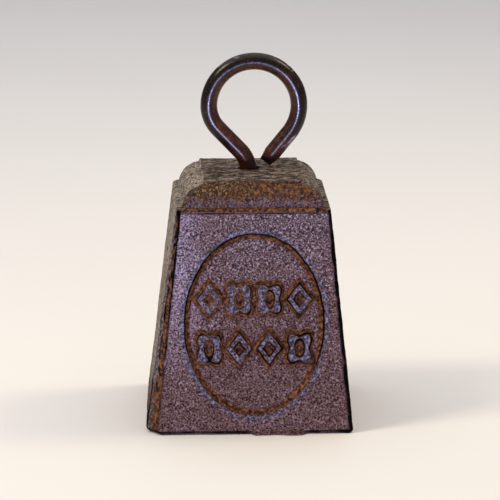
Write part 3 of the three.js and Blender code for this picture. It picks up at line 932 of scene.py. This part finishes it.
def cast_iron():
    s = Shader("cast_iron")
    fine = s.noise(0.85, detail=2, roughness=0.55)
    tooth = s.noise(2.3, detail=2)
    blotch = s.noise(22, detail=3)
    # The mauve mask mixes the iron's own tone with a painted cool sheen.
    hue = s.math("ADD", s.mask("mauve_and_sheen"), s.span(blotch, 0.3, 0.7, -0.25, 0.25))
    color = s.ramp(hue, [
        (0.0, (0.069, 0.034, 0.020)), (0.5, (0.086, 0.046, 0.033)), (1.0, (0.088, 0.060, 0.054))])
    shade = s.mix(s.span(fine, 0.38, 0.62), (0.22, 0.18, 0.19), (1.5, 1.5, 1.52))
    color = s.mix(1.0, color, shade, "MULTIPLY")
    # Painted bluish glints on the grain's high points, more where the mauve sheen is.
    painted_glints = s.math("MULTIPLY", s.span(fine, 0.58, 0.70), s.span(hue, 0, 1, 0.15, 0.9))
    color = s.mix(painted_glints, color, (0.36, 0.32, 0.38))
    # Painted light near the front's left edge.
    pale = s.math("MULTIPLY", s.mask("pale"), s.span(fine, 0.40, 0.62, 0.04, 0.45))
    color = s.mix(pale, color, (0.34, 0.30, 0.37))

    rust_tone = s.ramp(s.noise(1.6, detail=3), [
        (0.34, (0.008, 0.0025, 0.001)), (0.48, (0.060, 0.020, 0.005)), (0.64, (0.165, 0.068, 0.020))])
    rust = s.broken("rust", fine, 0.2, 0.18, 0.5)
    color = s.mix(rust, color, rust_tone)

    # Painted warm sheen on the moulding's upper band and the ledge's left end.
    gold_sheen_tone = s.ramp(s.noise(0.9, detail=2), [
        (0.40, (0.007, 0.004, 0.001)), (0.52, (0.050, 0.028, 0.010)), (0.66, (0.20, 0.13, 0.057))])
    gold_sheen = s.broken("gold_sheen", tooth, 0.3, 0.3, 0.8)
    color = s.mix(gold_sheen, color, gold_sheen_tone)

    # Painted bluish highlights.
    highlight_tone = s.ramp(s.noise(1.3, detail=2), [
        (0.40, (0.007, 0.006, 0.007)), (0.52, (0.042, 0.042, 0.056)), (0.66, (0.18, 0.19, 0.26))])
    bluish_highlight = s.broken("bluish_highlight", tooth, 0.35, 0.35, 0.95)
    color = s.mix(s.math("MULTIPLY", bluish_highlight, 0.85), color, highlight_tone)

    # Dust with a painted grey sheen, strongest where the surface is seen at a low angle.
    scratches = s.noise(1.3, detail=3, roughness=0.65, place=s.stretched((0.38, 0.52, 0.75)))
    dust_and_sheen_tone = s.ramp(scratches, [
        (0.39, (0.008, 0.005, 0.004)), (0.46, (0.040, 0.027, 0.021)),
        (0.54, (0.105, 0.077, 0.062)), (0.64, (0.24, 0.19, 0.16))])
    dust_and_sheen = s.broken("dust_and_sheen", tooth, 0.12, 0.15, 0.6)
    dust_and_sheen = s.math("MULTIPLY", dust_and_sheen, s.grazing(0.3, 0.7, 0.3))
    color = s.mix(dust_and_sheen, color, s.mix(0.55, dust_and_sheen_tone, shade, "MULTIPLY"))

    # Painted pale beige sheen, strongest where the surface is seen at a low angle.
    crumbs = s.noise(1.5, detail=3, roughness=0.65)
    grazing_sheen = s.broken("grazing_sheen", crumbs, 0.6, 0.42, 0.85, (0.32, 0.68))
    grazing_sheen = s.math("MULTIPLY", grazing_sheen, s.grazing(0.35, 0.8, 0.15))
    grazing_sheen_tone = s.mix(s.span(fine, 0.38, 0.55), (0.10, 0.08, 0.06), (0.42, 0.37, 0.31))
    color = s.mix(grazing_sheen, color, grazing_sheen_tone)

    # Painted shade: near black along edges, steps, the ledge, the floor line, the ornaments and round the
    # hole.
    line = s.broken("line", fine, 0.15, 0.2, 0.55)
    color = s.mix(line, color, (0.003, 0.002, 0.002))

    normal = s.bump(tooth, 0.5, 0.8)
    normal = s.bump(fine, 0.6, 1.0, normal)
    dust_and_sheen_share = s.math("MULTIPLY", s.mask("dust_and_sheen"), 0.95)
    rough = s.math("MAXIMUM", s.span(fine, 0.3, 0.7, 0.60, 0.36), dust_and_sheen_share)
    rough = s.math("MAXIMUM", rough, s.math("MULTIPLY", rust, 0.8))
    pits = s.math("SUBTRACT", s.span(fine, 0.36, 0.50, 0.7, 0), dust_and_sheen_share)
    return s.finish(color, rough, s.math("MAXIMUM", line, pits), normal, specular=0.18)


def browned_steel():
    s = Shader("browned_steel")
    streak = s.noise(2.5, detail=4, roughness=0.6)
    mottle = s.noise(9, detail=3)
    color = s.ramp(mottle, [
        (0.35, (0.003, 0.0018, 0.0015)), (0.55, (0.008, 0.0034, 0.0022)), (0.75, (0.026, 0.009, 0.005))])
    # Painted warm reflection on the bar's inward side and low on its shank leg.
    flank = s.math("MULTIPLY", s.mask("flank"), s.span(streak, 0.35, 0.65, 0.35, 1.0))
    color = s.mix(flank, color, (0.066, 0.020, 0.009))
    flecks = s.span(s.noise(1.1, detail=2), 0.60, 0.72)
    color = s.mix(s.math("MULTIPLY", flecks, 0.35), color, (0.10, 0.042, 0.022))
    bare_tone = s.ramp(streak, [(0.4, (0.05, 0.034, 0.025)), (0.65, (0.30, 0.26, 0.24))])
    bare = s.broken("bare", streak, 0.2, 0.35, 0.7)
    color = s.mix(bare, color, bare_tone)
    cut_tone = s.ramp(streak, [(0.35, (0.010, 0.004, 0.002)), (0.65, (0.055, 0.022, 0.012))])
    color = s.mix(s.mask("cutface"), color, cut_tone)
    rough = s.math("ADD", s.span(streak, 0.3, 0.7, 0.19, 0.33),
                   s.math("MULTIPLY", s.mask("cutface"), 0.35))
    normal = s.bump(streak, 0.06, 0.4)
    normal = s.bump(s.noise(1.2, detail=2), 0.06, 0.5, normal)
    return s.finish(color, rough, 0.0, normal, specular=0.24)


def zinc(name, tone, size):
    s = Shader(name)
    crystal = s.cells(size)
    cloud = s.noise(4, detail=3)
    dull = tuple(part * 0.55 for part in tone)
    color = s.mix(s.span(cloud, 0.35, 0.65), dull, tone)
    color = s.mix(s.span(s.noise(1.2, detail=3), 0.62, 0.72, 0, 0.6), color, (0.16, 0.07, 0.03))
    normal = s.bump(crystal, 0.05, 0.4)
    normal = s.bump(s.noise(0.5, detail=2), 0.04, 0.5, normal)
    return s.finish(color, s.span(cloud, 0.3, 0.7, 0.32, 0.5), 0.85, normal)


# ---------------------------------------------------------------- assembly


def dress(piece, material, node):
    piece.data.materials.append(material)
    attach(piece, "root")
    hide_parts(node)


dress(body_piece(), cast_iron(), "body_casting")
dress(ring_piece(), browned_steel(), "ring_handle")
dress(washer_piece(), zinc("zinc_washer", (0.42, 0.41, 0.39), 1.4), "flat_washer")
dress(nut_piece(), zinc("zinc_nut", (0.46, 0.44, 0.40), 2.2), "hex_nut")

# ---------------------------------------------------------------- floor, light and camera


def floor():
    """A pale floor that curves up into a backdrop far behind the object."""
    half_width, front, back, radius = 5000, -9000, 2200, 900
    level = -0.02  # a hair below the foot, so that the two share no plane
    profile = [(front, level), (0, level), (back, level)]
    for turn in np.radians(np.arange(6, 91, 6)):
        profile.append((back + radius * math.sin(turn), level + radius * (1 - math.cos(turn))))
    profile.append((back + radius, 3 * radius))
    points, faces = [], []
    for y, z in profile:
        points += [(-half_width, y, z), (half_width, y, z)]
    for k in range(len(profile) - 1):
        faces.append((2 * k, 2 * k + 1, 2 * k + 3, 2 * k + 2))
    plane = mesh_object("Floor", points, faces)
    s = Shader("pale_floor")
    color = s.mix(s.noise(300, detail=2), (0.725, 0.715, 0.73), (0.77, 0.775, 0.80))
    plane.data.materials.append(s.finish(color, 0.6, 0.0, s.bump(s.noise(2), 0.02, 0.2), 0.2))
    return plane


def area_light(name, place, aim, width, height, power, color):
    data = bpy.data.lights.new(name, "AREA")
    data.shape = "RECTANGLE"
    data.size, data.size_y = width * MM, height * MM
    data.energy = power
    data.color = color
    light = bpy.data.objects.new(name, data)
    light.location = Vector(place) * MM
    direction = (Vector(aim) - Vector(place)).normalized()
    light.rotation_euler = direction.to_track_quat("-Z", "Y").to_euler()
    light.visible_camera = False
    bpy.context.scene.collection.objects.link(light)
    return light


def shine_through(light, stage_piece):
    """Lets a light below the floor's level reach the object, as past a table's front edge."""
    blockers = bpy.data.collections.new("Window_Blockers")
    blockers.objects.link(stage_piece)
    blockers.collection_objects[0].light_linking.link_state = "EXCLUDE"
    light.light_linking.blocker_collection = blockers


def studio(stage_piece):
    world = bpy.data.worlds.new("Studio")
    bpy.context.scene.world = world
    world.use_nodes = True
    background = world.node_tree.nodes["Background"]
    background.inputs["Color"].default_value = (0.95, 0.96, 1.0, 1)
    background.inputs["Strength"].default_value = 0.28
    aim = (0, 0, 80)
    area_light("Top", (-100, 350, 1500), (-100, 350, 0), 2400, 2200, 20, (1.0, 0.99, 0.97))
    area_light("Key", (-800, -300, 1000), aim, 300, 300, 8, (1.0, 0.84, 0.60))
    area_light("Fill", (700, 100, 900), aim, 300, 300, 4, (1.0, 0.80, 0.50))
    window = area_light("Window", (-210, -1500, -215), (0, 0, 140), 260, 240, 32, (0.60, 0.57, 1.0))
    shine_through(window, stage_piece)
    bpy.context.scene.view_settings.view_transform = "Standard"


def camera():
    """A long lens, a little above and a little left of the object's front."""
    elevation, yaw, roll = (math.radians(a) for a in (14.0, -3.0, 0.24))
    distance = 1395
    aim = Vector((0.8, 0, 80.4))
    back = Vector((math.sin(yaw) * math.cos(elevation), -math.cos(yaw) * math.cos(elevation),
                   math.sin(elevation)))
    right = Vector((0, 0, 1)).cross(back).normalized()
    up = back.cross(right)
    turned = right * math.cos(roll) + up * math.sin(roll)
    upright = up * math.cos(roll) - right * math.sin(roll)
    place = Matrix((turned, upright, back)).transposed().to_4x4()
    place.translation = (aim + back * distance) * MM
    data = bpy.data.cameras.new("Camera")
    data.lens = 205.9
    data.clip_end = 30
    obj = bpy.data.objects.new("Camera", data)
    obj.matrix_world = place
    bpy.context.scene.collection.objects.link(obj)
    bpy.context.scene.camera = obj


studio(floor())
camera()
